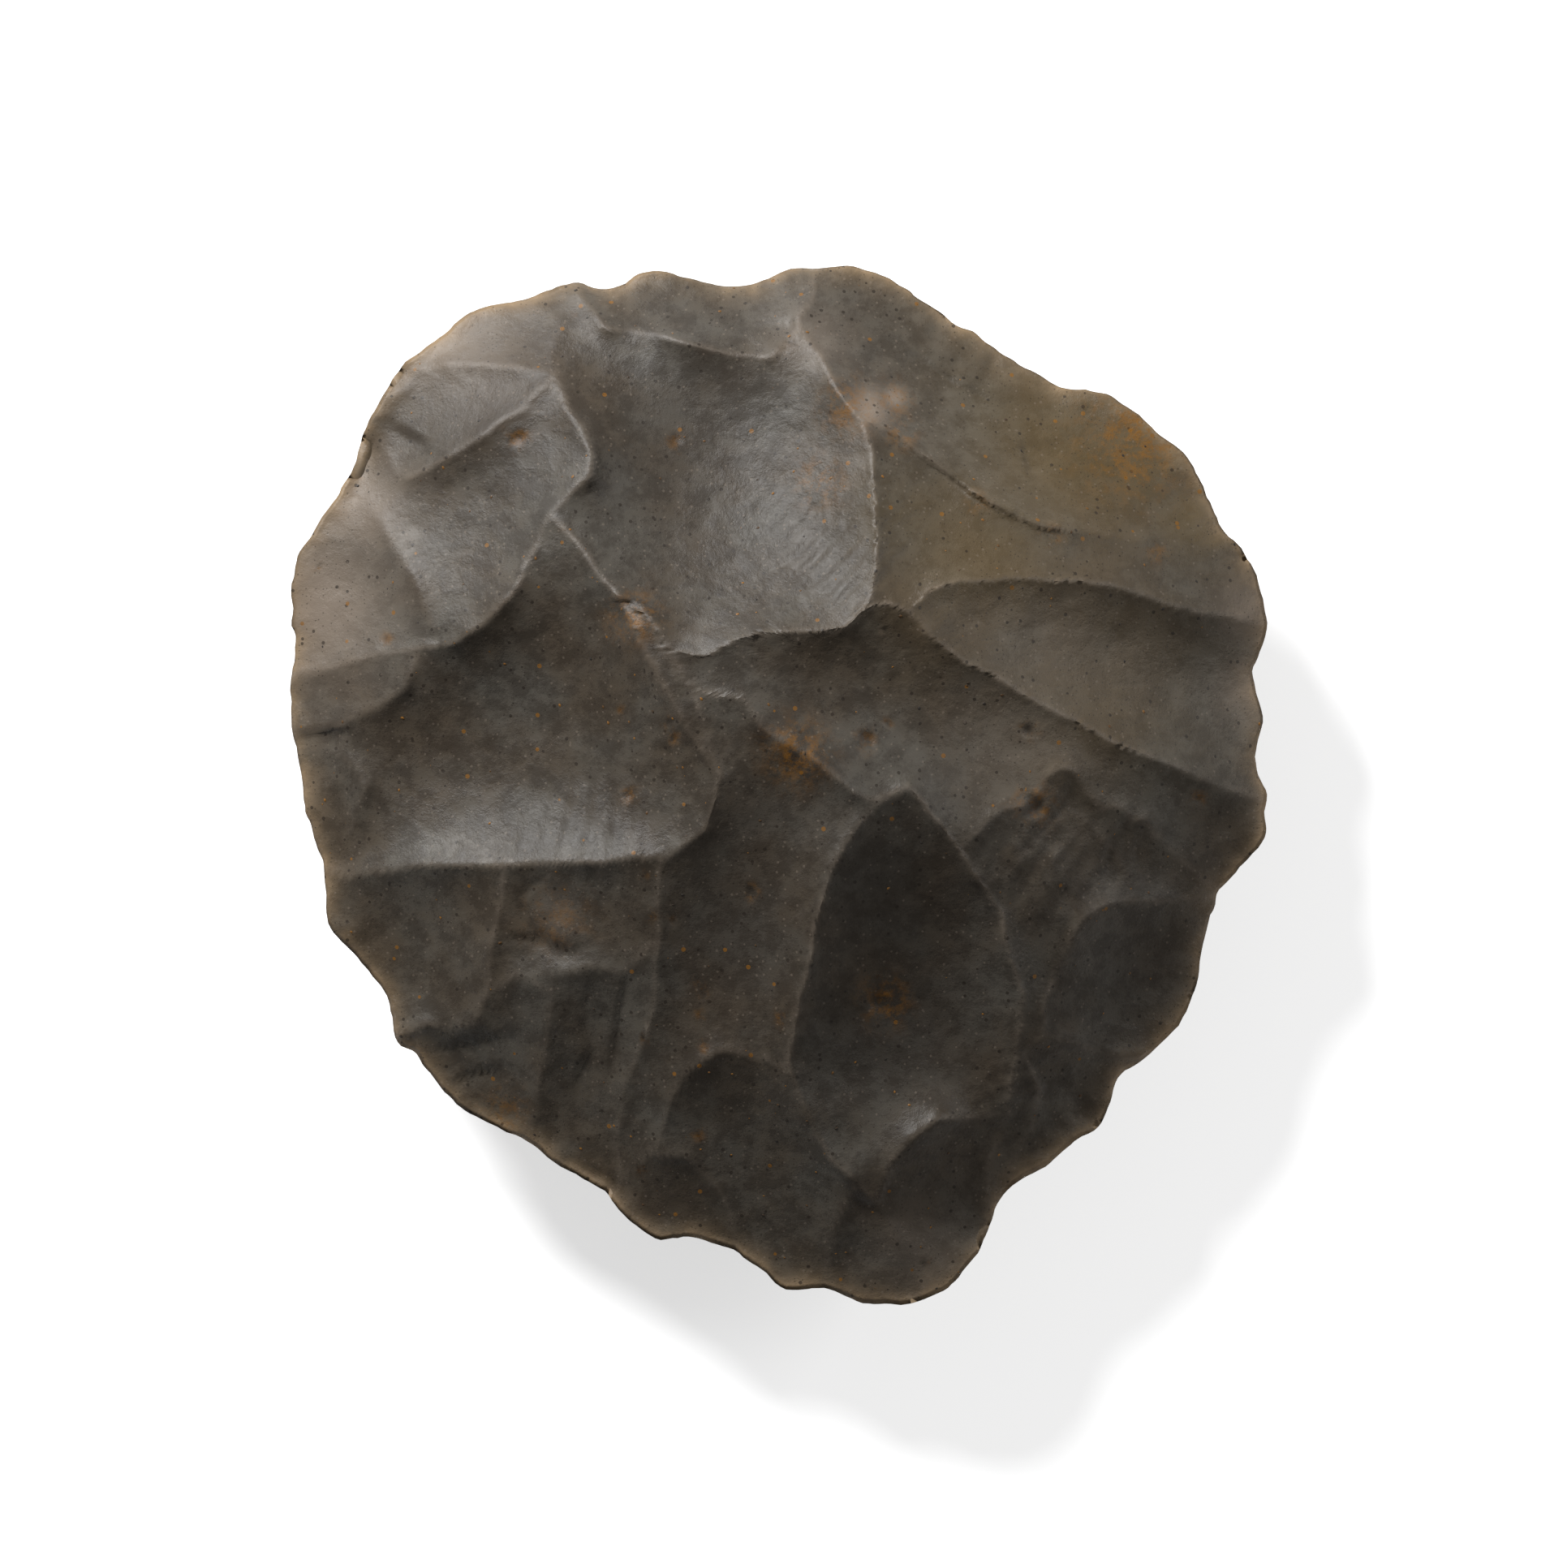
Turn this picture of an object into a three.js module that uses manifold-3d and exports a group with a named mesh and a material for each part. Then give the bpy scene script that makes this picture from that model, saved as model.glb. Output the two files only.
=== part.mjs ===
// A flint hand axe: one stone, roughed out to a thick lens and flaked over both faces to a sharp edge.
// Sizes are in millimetres. It lies on its hidden face with +Z up, +Y to its broad end and its tip at -Y.
import * as THREE from "three";
import { mergeVertices } from "three/addons/utils/BufferGeometryUtils.js";
import Module from "manifold-3d";

// Driving sizes
const LENGTH = 105;
const WIDTH = 98.8;
const THICKNESS = 34; // of the roughed-out lens: the flakes take about a millimetre off its crest
const EDGE_HEIGHT = 15; // the sharp edge above the table
const EDGE_LAND = 0.6; // the worn thickness that is left on the sharp edge
const REST_WIDTH = 34; // the facet under the stone that it lies on

// How each face of the lens is filled out: a higher power is flatter inside and steeper at the edge
const UPPER_FULLNESS = 1.9;
const LOWER_FULLNESS = 1.5;

// Places below were measured on a stone of this length and width, from the middle of its outline
const MEASURED = { length: 105, width: 98.8 };
const CREST = [3.3, 13.7];
const REST_CENTRE = [1, 3];

// The edge, anticlockwise from the tip: ridge ends and the hollows between them
const EDGE_POINTS = [
  [4.6, -50.9], [8.2, -52.4], [14.8, -52], [20.7, -46.5], [23, -41.2], [32.7, -34.2], [34.5, -29.7],
  [41, -23.6], [44.7, -10.9], [48.9, -5.5], [49.5, -1.4], [48.5, 1.4], [49, 5.9], [48.3, 10.9],
  [49.2, 15], [47.6, 22.8], [44.6, 26.9], [41.9, 33], [33.8, 39.1], [28.7, 40.4], [18.1, 46.5],
  [10.7, 51.5], [1.3, 52.2], [-2.8, 50.6], [-12.1, 51.9], [-17.2, 50.1], [-20.8, 50.9], [-26.2, 49],
  [-31.5, 47.8], [-36, 43.9], [-38.1, 42.4], [-42.8, 32.2], [-47.4, 24.8], [-48.8, 22.8], [-48.9, 15],
  [-49.4, 6.8], [-45.9, -8], [-45.5, -13.3], [-39.7, -21.1], [-38.5, -25.2], [-32.8, -31.9],
  [-18, -40.8], [-15.9, -43.3], [-11.8, -45.9], [-9, -45.9], [-3.6, -47.4], [0.9, -50.9],
];

// Flake scars of the upper face. Each is a shallow oval dish whose border runs through three places
// on the lens; where two dishes share two places, a sharp ridge runs between those places.
const UPPER_FLAKES = [
  { name: "crown", border: [[-9, 44.2], [10.5, 36.7], [-4.9, 13.5]], dish: 1, stretch: 1, heading: 0 },
  { name: "top bevel", border: [[-18.8, 50.5], [-7.3, 43.9], [2.6, 47.6]], dish: 0.8, stretch: 1.7, heading: 4 },
  { name: "tall", border: [[10.5, 36.7], [30.4, 25.6], [22, 43.7]], dish: 1.2, stretch: 1.9, heading: -30 },
  { name: "corner", border: [[30.4, 25.6], [33.8, 39], [46, 24.8]], dish: 1, stretch: 1, heading: 0 },
  { name: "right slope", border: [[10.5, 36.7], [13.2, 17.7], [44.3, 15.8]], dish: 1.5, stretch: 1.5, heading: -15 },
  { name: "right", border: [[14.4, 17.7], [49.1, -1.4], [49, 14.6]], dish: 1.5, stretch: 1.8, heading: -27 },
  { name: "below crest", border: [[-7.5, 10.9], [12.5, -0.4], [14.8, 17.2]], dish: 1, stretch: 1.2, heading: 0 },
  { name: "right lower", border: [[14.8, 17.2], [18.9, -6.4], [49.1, -1.4]], dish: 1.2, stretch: 1.8, heading: -27 },
  { name: "pointed", border: [[12.3, -0.2], [0.7, -28.1], [24.8, -22.3]], dish: 1.6, stretch: 1.7, heading: 85 },
  { name: "middle", border: [[-8, 9.6], [9.1, -1.4], [-12.1, -12.5]], dish: 1.4, stretch: 2.6, heading: 80 },
  { name: "middle low", border: [[-5.7, -24.8], [-12.1, -35.7], [5.8, -39.2]], dish: 1.2, stretch: 1.7, heading: 75 },
  { name: "left big", border: [[-20.8, 25.2], [-5.7, 0.6], [-29.1, -9.4]], dish: 1.6, stretch: 1.3, heading: 165 },
  { name: "corner big", border: [[-19.5, 33], [-34, 14], [-42.2, 31.8]], dish: 1.5, stretch: 1.2, heading: 45 },
  { name: "left rim", border: [[-42.9, 30.1], [-34, 14], [-46.9, 11.9]], dish: 1.4, stretch: 1.4, heading: 110 },
  { name: "leaf", border: [[-22.1, 41.5], [-35.5, 31.6], [-40.1, 38.3]], dish: 1.2, stretch: 1.9, heading: 18 },
  { name: "corner top", border: [[-38.1, 42.4], [-21.9, 41.5], [-22.3, 46.9]], dish: 0.7, stretch: 2, heading: 12 },
  { name: "left small", border: [[-47.1, 11.3], [-36.9, 13.5], [-44.6, 6.1]], dish: 0.8, stretch: 1.8, heading: 20 },
  { name: "left edge", border: [[-48.2, 5.1], [-41.8, 1.4], [-45.5, -7.6]], dish: 0.8, stretch: 1.5, heading: 75 },
  { name: "left low", border: [[-45.7, -8.4], [-29.1, -9.4], [-29.9, -22.8]], dish: 1.2, stretch: 1.4, heading: -25 },
  { name: "left chip", border: [[-29.1, -9.4], [-12.1, -8], [-28.7, -17]], dish: 0.9, stretch: 1.7, heading: 5 },
  { name: "foot left", border: [[-37.9, -25], [-26.2, -17.4], [-22.5, -33]], dish: 1, stretch: 1.6, heading: -35 },
  { name: "foot", border: [[-21.3, -17.4], [-6.1, -24.4], [-16.8, -40.5]], dish: 1.2, stretch: 1.3, heading: -60 },
  { name: "foot lobe", border: [[-15.9, -40], [-9.8, -37.1], [-4.5, -45.7]], dish: 0.8, stretch: 1.3, heading: -30 },
  { name: "foot edge", border: [[-26.2, -35.1], [-22.1, -33], [-18.4, -40]], dish: 0.6, stretch: 1.6, heading: -35 },
  { name: "low right", border: [[34.9, -11.7], [26.7, -22.3], [40.6, -24.4]], dish: 1.4, stretch: 1.2, heading: 70 },
  { name: "terrace", border: [[19.1, -6.4], [25.1, -1.4], [24.2, -20.3]], dish: 0.9, stretch: 1.7, heading: 75 },
  { name: "terrace two", border: [[25.9, -1.4], [32, -1.4], [27.9, -19.1]], dish: 0.9, stretch: 1.7, heading: 75 },
  { name: "terrace three", border: [[32.8, -3.5], [44.3, -10.2], [31.2, -12.5]], dish: 0.9, stretch: 1.3, heading: 140 },
  { name: "tip right", border: [[12.3, -37.5], [19.7, -33.4], [20.7, -45.7]], dish: 0.9, stretch: 1.3, heading: 60 },
  { name: "tip", border: [[5.8, -39.6], [11.5, -42], [10.7, -52.2]], dish: 0.9, stretch: 1.3, heading: 80 },
  { name: "tip left", border: [[-4.5, -46.1], [5.4, -41.2], [4.1, -50.7]], dish: 0.9, stretch: 1.3, heading: 20 },
  { name: "step", border: [[24.8, -22.3], [28.7, -25.6], [22.2, -40]], dish: 0.8, stretch: 2.2, heading: 68 },
  { name: "step edge", border: [[28.7, -24], [36.1, -27.3], [26.3, -38.7]], dish: 0.8, stretch: 1.5, heading: 55 },
];

// Flake scars of the hidden face, anticlockwise from the tip. Each runs in from a stretch of the edge:
// start and end are shares of the way round, and inward is its length as a share of the way to the facet.
const LOWER_FLAKES = [
  { start: 0, end: 0.06, inward: 0.72, dish: 1.1 },
  { start: 0.06, end: 0.14, inward: 1.02, dish: 1.3 },
  { start: 0.14, end: 0.2, inward: 0.66, dish: 1 },
  { start: 0.2, end: 0.28, inward: 1, dish: 1.4 },
  { start: 0.28, end: 0.35, inward: 0.8, dish: 1.1 },
  { start: 0.35, end: 0.41, inward: 1.05, dish: 1.2 },
  { start: 0.41, end: 0.49, inward: 0.9, dish: 1.3 },
  { start: 0.49, end: 0.55, inward: 0.6, dish: 0.9 },
  { start: 0.55, end: 0.63, inward: 1.04, dish: 1.4 },
  { start: 0.63, end: 0.69, inward: 0.75, dish: 1 },
  { start: 0.69, end: 0.77, inward: 0.98, dish: 1.3 },
  { start: 0.77, end: 0.84, inward: 0.85, dish: 1.1 },
  { start: 0.84, end: 0.92, inward: 1.03, dish: 1.3 },
  { start: 0.92, end: 1, inward: 0.8, dish: 1.2 },
];
const LOWER_STRETCH = 1.3;
const LOWER_TUCK = 1; // how far under the edge the ridges between these scars start

// How far a dish runs on past its border, as a share of its radius, before it turns up to leave the stone
const REACH = 1.25;
const CUTTER_HEIGHT = 20;

// How finely the shapes are faceted
const STATIONS = 120;
const UPPER_RINGS = [1, 0.9, 0.75, 0.5, 0];
const LOWER_RINGS = [0, 0.35, 0.7, 1];
const DISH_RINGS = 4;
const DISH_SIDES = 20;

const UP = 1;
const DOWN = -1;

const FLINT = new THREE.MeshStandardMaterial({ color: 0x4e4740, roughness: 0.45, metalness: 0, flatShading: true });

const wasm = await Module();
wasm.setup();

// A closed geometry as a solid, without the triangles that shrink to a line at a pole
function solid(geometry) {
  geometry.deleteAttribute("normal");
  geometry.deleteAttribute("uv");
  const merged = mergeVertices(geometry);
  const corners = merged.index.array;
  const triVerts = [];
  for (let i = 0; i < corners.length; i += 3) {
    const [a, b, c] = corners.slice(i, i + 3);
    if (a !== b && b !== c && c !== a) triVerts.push(a, b, c);
  }
  const vertProperties = merged.getAttribute("position").array;
  return new wasm.Manifold(new wasm.Mesh({ numProp: 3, vertProperties, triVerts: Uint32Array.from(triVerts) }));
}

// A place measured on the real stone, moved to the length and width that are set
function placed([x, y]) {
  return new THREE.Vector2((x * WIDTH) / MEASURED.width, (y * LENGTH) / MEASURED.length);
}

const crest = placed(CREST);
const restCentre = placed(REST_CENTRE);
const edgeCurve = new THREE.CatmullRomCurve3(
  EDGE_POINTS.map((point) => new THREE.Vector3(...placed(point))),
  true,
  "centripetal",
);
edgeCurve.arcLengthDivisions = STATIONS * 10;
const edge = Array.from({ length: STATIONS }, (_, i) => {
  const { x, y } = edgeCurve.getPointAt(i / STATIONS);
  return new THREE.Vector2(x, y);
});

// The ray from a centre through a place: the edge point that it meets, and between which stations
function alongRay(centre, place) {
  const out = place.clone().sub(centre);
  for (let i = 0; i < STATIONS; i += 1) {
    const next = (i + 1) % STATIONS;
    const before = edge[i].clone().sub(centre).cross(out);
    const after = out.cross(edge[next].clone().sub(centre));
    const ahead = out.dot(edge[i].clone().sub(centre)) > 0;
    if (ahead && before >= 0 && after > 0) {
      const blend = before / (before + after);
      return { meets: edge[i].clone().lerp(edge[next], blend), i, next, blend };
    }
  }
  return { meets: edge[0], i: 0, next: 0, blend: 0 };
}

// Height of the roughed-out upper face above the table
function upperHeight(share) {
  return EDGE_HEIGHT + (THICKNESS - EDGE_HEIGHT) * (1 - share ** UPPER_FULLNESS);
}

function upperLens(place) {
  const { meets } = alongRay(crest, place);
  return upperHeight(place.distanceTo(crest) / meets.distanceTo(crest));
}

// A scar ready to cut: the oval through its three border places, and the plane that they lie in
function scarOf({ border, dish, stretch, heading }, lens, side) {
  const turn = THREE.MathUtils.degToRad(heading);
  const along = new THREE.Vector2(Math.cos(turn) / stretch, Math.sin(turn) / stretch);
  const across = new THREE.Vector2(-Math.sin(turn), Math.cos(turn));
  const [a, b, c] = border.map((place) => new THREE.Vector2(place.dot(along), place.dot(across)));
  const twice = 2 * b.clone().sub(a).cross(c.clone().sub(a));
  const [aa, bb, cc] = [a, b, c].map((corner) => corner.lengthSq());
  const middle = new THREE.Vector2(
    (aa * (b.y - c.y) + bb * (c.y - a.y) + cc * (a.y - b.y)) / twice,
    (aa * (c.x - b.x) + bb * (a.x - c.x) + cc * (b.x - a.x)) / twice,
  );
  const corners = border.map((place) => new THREE.Vector3(place.x, place.y, lens(place)));
  const plane = new THREE.Plane().setFromCoplanarPoints(...corners);
  return { along, across, stretch, middle, radius: middle.distanceTo(a), plane, dish, side };
}

function planeHeight({ normal, constant }, x, y) {
  return -(normal.x * x + normal.y * y + constant) / normal.z;
}

// Height of the scar's dish over a place, or nothing where the dish doesn't reach
function dishHeight(scar, place) {
  const u = place.dot(scar.along) - scar.middle.x;
  const v = place.dot(scar.across) - scar.middle.y;
  const square = (u * u + v * v) / scar.radius ** 2;
  if (square > REACH ** 2) return null;
  return planeHeight(scar.plane, place.x, place.y) + scar.side * scar.dish * (square - 1);
}

// The solid that a scar takes away: a bowl under a wall that leans outwards, laid onto the scar's plane
function cutter(scar) {
  const profile = [];
  for (let i = 0; i <= DISH_RINGS; i += 1) {
    const out = (REACH * i) / DISH_RINGS;
    profile.push(new THREE.Vector2(out, scar.dish * (out ** 2 - 1)));
  }
  profile.push(new THREE.Vector2(REACH + CUTTER_HEIGHT / scar.radius, CUTTER_HEIGHT));
  profile.push(new THREE.Vector2(0, CUTTER_HEIGHT));
  if (scar.side === DOWN) profile.reverse();
  const bowl = new THREE.LatheGeometry(profile, DISH_SIDES);
  const points = bowl.getAttribute("position");
  for (let i = 0; i < points.count; i += 1) {
    const u = (scar.middle.x + points.getX(i) * scar.radius) * scar.stretch;
    const v = scar.middle.y - points.getZ(i) * scar.radius;
    const x = u * scar.along.x * scar.stretch + v * scar.across.x;
    const y = u * scar.along.y * scar.stretch + v * scar.across.y;
    points.setXYZ(i, x, y, planeHeight(scar.plane, x, y) + scar.side * points.getY(i));
  }
  return solid(bowl);
}

const upperScars = UPPER_FLAKES.map(({ border, ...flake }) =>
  scarOf({ ...flake, border: border.map(placed) }, upperLens, UP),
);

// The edge is left at the height where the upper scars reach it, less its worn thickness
const edgeFoot = edge.map((place) => {
  const heights = upperScars.map((scar) => dishHeight(scar, place)).filter((height) => height !== null);
  return Math.min(EDGE_HEIGHT, ...heights) - EDGE_LAND;
});

// Height of the roughed-out lower face: level across the resting facet, then rising to the edge
function lowerLens(place) {
  const { meets, i, next, blend } = alongRay(restCentre, place);
  const flat = REST_WIDTH / 2;
  const rise = (place.distanceTo(restCentre) - flat) / (meets.distanceTo(restCentre) - flat);
  return THREE.MathUtils.lerp(edgeFoot[i], edgeFoot[next], blend) * Math.max(0, rise) ** LOWER_FULLNESS;
}

const lowerScars = LOWER_FLAKES.map(({ start, end, inward, dish }) => {
  const station = (share) => edge[Math.round(share * STATIONS) % STATIONS];
  const struck = station((start + end) / 2);
  const out = struck.clone().sub(restCentre);
  const length = inward * (out.length() - REST_WIDTH / 2);
  const inner = struck.clone().sub(out.clone().setLength(length));
  const border = [station(start), station(end), inner];
  const heading = THREE.MathUtils.radToDeg(out.angle());
  const tucked = (place) => Math.max(0, lowerLens(place) - (place === inner ? 0 : LOWER_TUCK));
  return scarOf({ border, dish, stretch: LOWER_STRETCH, heading }, tucked, DOWN);
});

// The roughed-out lens: a turned shape whose rings are drawn out from its middle to the edge
function roughOut() {
  const rings = [
    ...LOWER_RINGS.map((share) => ({ share, side: DOWN })),
    ...UPPER_RINGS.map((share) => ({ share, side: UP })),
  ];
  const profile = [
    new THREE.Vector2(0, 0),
    ...rings.map(({ share, side }) => new THREE.Vector2(share + (side === DOWN ? 1 : 0), side + 2)),
  ];
  profile[profile.length - 1].x = 0;
  const lens = new THREE.LatheGeometry(profile, STATIONS);
  const points = lens.getAttribute("position");
  for (let k = 0; k < points.count; k += 1) {
    const station = Math.floor(k / profile.length) % STATIONS;
    const ring = rings[(k % profile.length) - 1];
    const rim = edge[station];
    if (ring === undefined) points.setXYZ(k, restCentre.x, restCentre.y, 0);
    else if (ring.side === UP) {
      const place = crest.clone().lerp(rim, ring.share);
      points.setXYZ(k, place.x, place.y, upperHeight(ring.share));
    } else {
      const out = rim.clone().sub(restCentre);
      const flat = REST_WIDTH / 2;
      const place = restCentre.clone().add(out.setLength(flat + ring.share * (out.length() - flat)));
      points.setXYZ(k, place.x, place.y, edgeFoot[station] * ring.share ** LOWER_FULLNESS);
    }
  }
  return solid(lens);
}

const cutters = [...upperScars, ...lowerScars].map(cutter);
const worked = roughOut().subtract(wasm.Manifold.union(cutters)).getMesh();

const geometry = new THREE.BufferGeometry();
geometry.setAttribute("position", new THREE.BufferAttribute(worked.vertProperties, 3));
geometry.setIndex(new THREE.BufferAttribute(worked.triVerts, 1));
geometry.computeVertexNormals();

// The frame's origin is under the middle of the stone, on the table
geometry.computeBoundingBox();
const { min, max } = geometry.boundingBox;
geometry.translate(-(min.x + max.x) / 2, -(min.y + max.y) / 2, -min.z);

const handAxe = new THREE.Mesh(geometry, FLINT);
handAxe.name = "hand_axe";

const root = new THREE.Group();
root.add(handAxe);

export default root;
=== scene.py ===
"""A flint hand axe: one knapped stone lying on a pale table, seen from straight above.

Both faces are shaped as a film stretched over the ridges where flake scars meet and pressed in between them.
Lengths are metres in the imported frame. Ridge lines are places in the photograph, in its own pixels.
"""

import math

import bpy
import numpy as np
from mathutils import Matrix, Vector
from mathutils.kdtree import KDTree


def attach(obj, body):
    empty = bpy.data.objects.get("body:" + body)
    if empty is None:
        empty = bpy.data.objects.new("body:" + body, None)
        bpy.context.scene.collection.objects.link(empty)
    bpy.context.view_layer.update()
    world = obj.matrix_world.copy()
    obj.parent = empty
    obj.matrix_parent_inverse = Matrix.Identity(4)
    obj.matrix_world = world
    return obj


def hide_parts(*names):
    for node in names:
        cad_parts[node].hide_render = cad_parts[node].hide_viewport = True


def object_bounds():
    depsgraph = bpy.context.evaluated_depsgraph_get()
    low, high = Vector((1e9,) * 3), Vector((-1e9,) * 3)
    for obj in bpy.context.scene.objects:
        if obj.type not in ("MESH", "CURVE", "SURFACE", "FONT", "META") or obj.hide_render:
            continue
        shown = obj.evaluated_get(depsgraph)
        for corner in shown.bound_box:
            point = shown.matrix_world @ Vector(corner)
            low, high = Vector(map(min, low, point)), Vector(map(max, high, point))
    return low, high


bl_info = {
    "name": "Flint Hand Axe",
    "version": (1, 0, 0),
    "blender": (4, 5, 0),
    "location": "View3D > Sidebar > Hand Axe",
    "description": "Builds a knapped flint hand axe from its ridge lines, with its grains and its table",
    "category": "Object",
}

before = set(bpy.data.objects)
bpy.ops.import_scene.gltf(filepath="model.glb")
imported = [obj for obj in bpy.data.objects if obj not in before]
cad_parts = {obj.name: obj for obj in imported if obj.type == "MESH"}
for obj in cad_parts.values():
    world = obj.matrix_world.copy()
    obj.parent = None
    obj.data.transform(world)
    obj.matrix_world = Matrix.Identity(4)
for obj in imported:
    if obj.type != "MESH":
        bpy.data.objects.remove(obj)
LOW, HIGH = [Vector(corner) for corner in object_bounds()]

MM = 0.001
NODE = "hand_axe"
BODY = "root"

# The stone's outline box in the photograph, in pixels, laid onto the frame's box
PHOTO_LEFT, PHOTO_RIGHT = 357.0, 1562.0
PHOTO_TOP, PHOTO_BOTTOM = 327.0, 1608.0
PHOTO_WIDTH, PHOTO_HEIGHT = 1931.0, 1932.0
PIXEL = (HIGH.x - LOW.x) / (PHOTO_RIGHT - PHOTO_LEFT)


def place(px, py):
    """A point of the photograph as x, y in the frame."""
    x = LOW.x + (px - PHOTO_LEFT) / (PHOTO_RIGHT - PHOTO_LEFT) * (HIGH.x - LOW.x)
    y = HIGH.y - (py - PHOTO_TOP) / (PHOTO_BOTTOM - PHOTO_TOP) * (HIGH.y - LOW.y)
    return x, y


# The highest place, and the level facet that the stone rests on
CREST = place(1000, 800)
REST_CENTRE = (1.0 * MM, 3.0 * MM)
REST_RADIUS = 15.5 * MM

OUTLINE = [
    (364, 690), (382, 665), (398, 636), (410, 620), (437, 575), (447, 548), (460, 515), (480, 478),
    (495, 450), (520, 432), (548, 410), (575, 385), (608, 374), (640, 370), (675, 355), (706, 347),
    (750, 357), (785, 342), (812, 335), (850, 340), (885, 347), (925, 351), (975, 331), (1030, 327),
    (1060, 330), (1090, 340), (1130, 365), (1180, 400), (1260, 450), (1310, 475), (1372, 491), (1440, 540),
    (1470, 565), (1485, 600), (1504, 640), (1540, 690), (1557, 745), (1559, 785), (1548, 835), (1557, 895),
    (1551, 950), (1563, 985), (1556, 1035), (1530, 1068), (1505, 1100), (1490, 1140), (1480, 1180),
    (1474, 1215), (1460, 1255), (1430, 1290), (1405, 1312), (1380, 1330), (1358, 1385), (1322, 1408),
    (1290, 1435), (1240, 1470), (1226, 1502), (1212, 1535), (1180, 1575), (1140, 1602), (1100, 1607),
    (1060, 1607), (1015, 1588), (970, 1588), (942, 1566), (915, 1545), (880, 1533), (850, 1527),
    (815, 1527), (765, 1495), (740, 1465), (700, 1441), (665, 1418), (632, 1398), (600, 1382), (560, 1357),
    (535, 1328), (510, 1298), (490, 1275), (475, 1225), (447, 1190), (420, 1155), (405, 1130), (404, 1096),
    (400, 1065), (388, 1025), (373, 970), (366, 925), (357, 885), (357, 850), (363, 785), (361, 760),
]

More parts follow.
